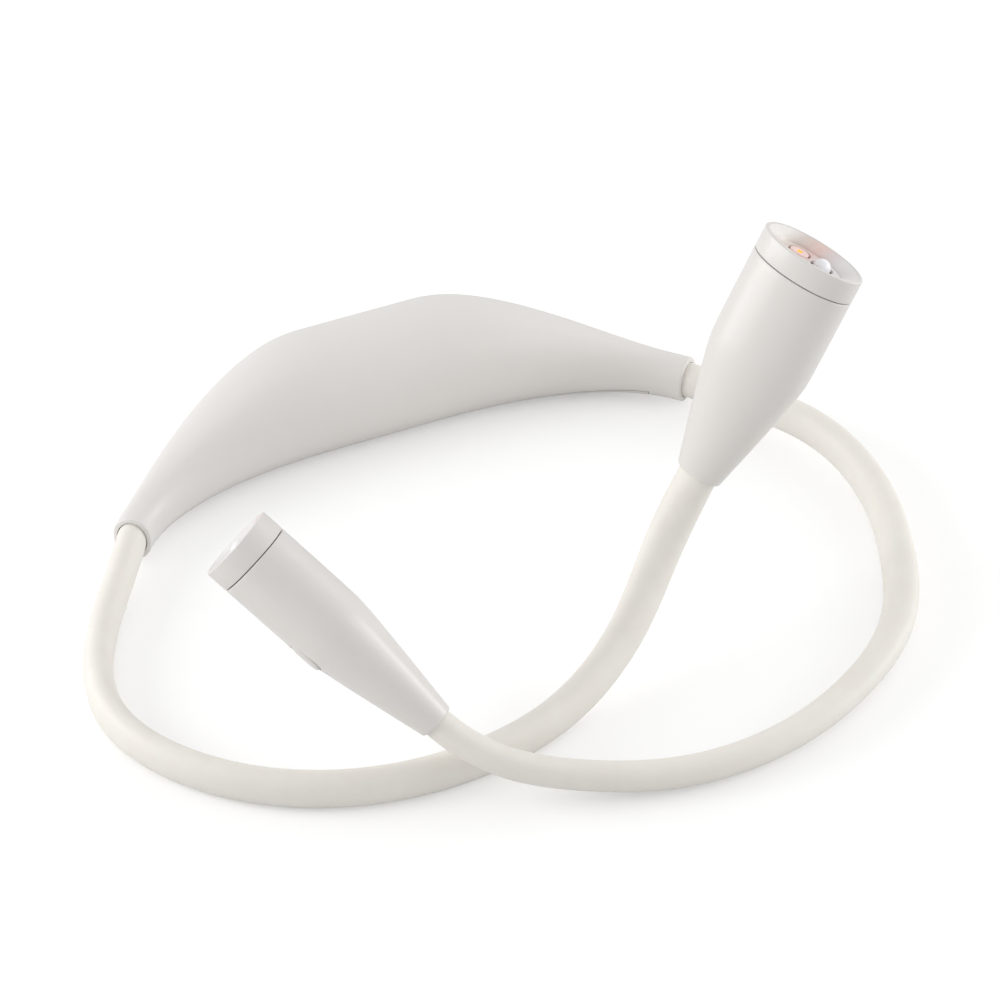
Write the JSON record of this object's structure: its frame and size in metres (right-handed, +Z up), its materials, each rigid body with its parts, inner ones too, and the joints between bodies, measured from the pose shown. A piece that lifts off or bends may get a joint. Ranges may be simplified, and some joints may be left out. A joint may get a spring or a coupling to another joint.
{
  "type": "neck light",
  "caption": "Rechargeable reading light worn round the neck: a curved battery housing with flexible hose arms, each ending in a small oval lamp head.",
  "frame": {"origin": "middle of the housing's flat underside, on the surface the light lies on", "axes": "+Z up; +Y to the back of the housing, where the charging port is; -Y to the lamp heads; +X along the housing, to the end that the right arm leaves"},
  "size_m": [0.2365, 0.1998, 0.1141],
  "materials": {
    "white_plastic": "fine satin moulded ABS",
    "cream_silicone": "matte cream silicone sleeve",
    "core_steel": "coiled steel bending core",
    "screw_steel": "bright zinc-plated screw",
    "socket_steel": "bright pressed shell",
    "cell_sleeve": "blue shrink sleeve over a metal can",
    "circuit_board": "green board with solder mask",
    "clear_lens": "clear moulded lens",
    "white_reflector": "glossy white moulded cup",
    "amber_lamp": "amber phosphor under a clear face",
    "switch_plastic": "black switch body"
  },
  "bodies": {
    "neckband": {"housing_shell": "white_plastic", "under_cover": "white_plastic", "cover_screw_1": "screw_steel", "cover_screw_2": "screw_steel", "cover_screw_3": "screw_steel", "cover_screw_4": "screw_steel", "battery_cell": "cell_sleeve", "charge_board": "circuit_board", "usb_socket": "socket_steel", "charge_light_pipe": "clear_lens", "left_hose_anchor": "core_steel", "left_root_flex": "cream_silicone", "left_root_core": "core_steel", "right_hose_anchor": "core_steel", "right_root_flex": "cream_silicone", "right_root_core": "core_steel"},
    "left_lower_arm": {"left_lower_hose": "cream_silicone", "left_lower_core": "core_steel", "left_mid_flex": "cream_silicone", "left_mid_core": "core_steel"},
    "left_upper_arm": {"left_upper_hose": "cream_silicone", "left_upper_core": "core_steel", "left_neck_flex": "cream_silicone", "left_neck_core": "core_steel"},
    "left_head": {"left_head_shell": "white_plastic", "left_bezel": "white_plastic", "left_reflector": "white_reflector", "left_lamp_board": "circuit_board", "left_warm_lamp": "amber_lamp", "left_white_lamp": "clear_lens", "left_driver_board": "circuit_board", "left_button_switch": "switch_plastic", "left_neck_clamp": "core_steel"},
    "left_push_button": {"left_button": "white_plastic"},
    "right_lower_arm": {"right_lower_hose": "cream_silicone", "right_lower_core": "core_steel", "right_mid_flex": "cream_silicone", "right_mid_core": "core_steel"},
    "right_upper_arm": {"right_upper_hose": "cream_silicone", "right_upper_core": "core_steel", "right_neck_flex": "cream_silicone", "right_neck_core": "core_steel"},
    "right_head": {"right_head_shell": "white_plastic", "right_bezel": "white_plastic", "right_reflector": "white_reflector", "right_lamp_board": "circuit_board", "right_warm_lamp": "amber_lamp", "right_white_lamp": "clear_lens", "right_driver_board": "circuit_board", "right_button_switch": "switch_plastic", "right_neck_clamp": "core_steel"},
    "right_push_button": {"right_button": "white_plastic"}
  },
  "joints": [
    {"name": "left_spread", "type": "hinge", "parent": "neckband", "child": "left_lower_arm", "pos_m": [-0.09421, -0.04308, 0.00689], "axis": [0, 0, -1], "range_deg": [-20, 0], "deforming": ["left_root_flex", "left_root_core"]},
    {"name": "left_lift", "type": "hinge", "parent": "left_lower_arm", "child": "left_upper_arm", "pos_m": [-0.01616, -0.14604, 0.00565], "axis": [0.309, -0.9511, 0], "range_deg": [0, 28], "deforming": ["left_mid_flex", "left_mid_core"]},
    {"name": "left_nod", "type": "hinge", "parent": "left_upper_arm", "child": "left_head", "pos_m": [0.03773, -0.11666, 0.03575], "axis": [0.3601, -0.9329, 0], "range_deg": [-25, 15], "deforming": ["left_neck_flex", "left_neck_core"]},
    {"name": "left_button_press", "type": "slide", "parent": "left_head", "child": "left_push_button", "axis": [-0.8029, -0.4009, 0.4412], "range_m": [0, 0.0005], "stiffness_N_per_m": 400, "springref_m": -0.001},
    {"name": "right_spread", "type": "hinge", "parent": "neckband", "child": "right_lower_arm", "pos_m": [0.09456, -0.04297, 0.00871], "axis": [0, 0, 1], "range_deg": [0, 25], "deforming": ["right_root_flex", "right_root_core"]},
    {"name": "right_lift", "type": "hinge", "parent": "right_lower_arm", "child": "right_upper_arm", "pos_m": [0.02781, -0.17788, 0.00488], "axis": [-0.0506, 0.9987, 0], "range_deg": [0, 25], "deforming": ["right_mid_flex", "right_mid_core"]},
    {"name": "right_nod", "type": "hinge", "parent": "right_upper_arm", "child": "right_head", "pos_m": [-0.03834, -0.15836, 0.01534], "axis": [0.5856, 0.8106, 0], "range_deg": [-10, 15], "deforming": ["right_neck_flex", "right_neck_core"]},
    {"name": "right_button_press", "type": "slide", "parent": "right_head", "child": "right_push_button", "axis": [0.8423, 0.2851, 0.4575], "range_m": [0, 0.0005], "stiffness_N_per_m": 400, "springref_m": -0.001}
  ]
}
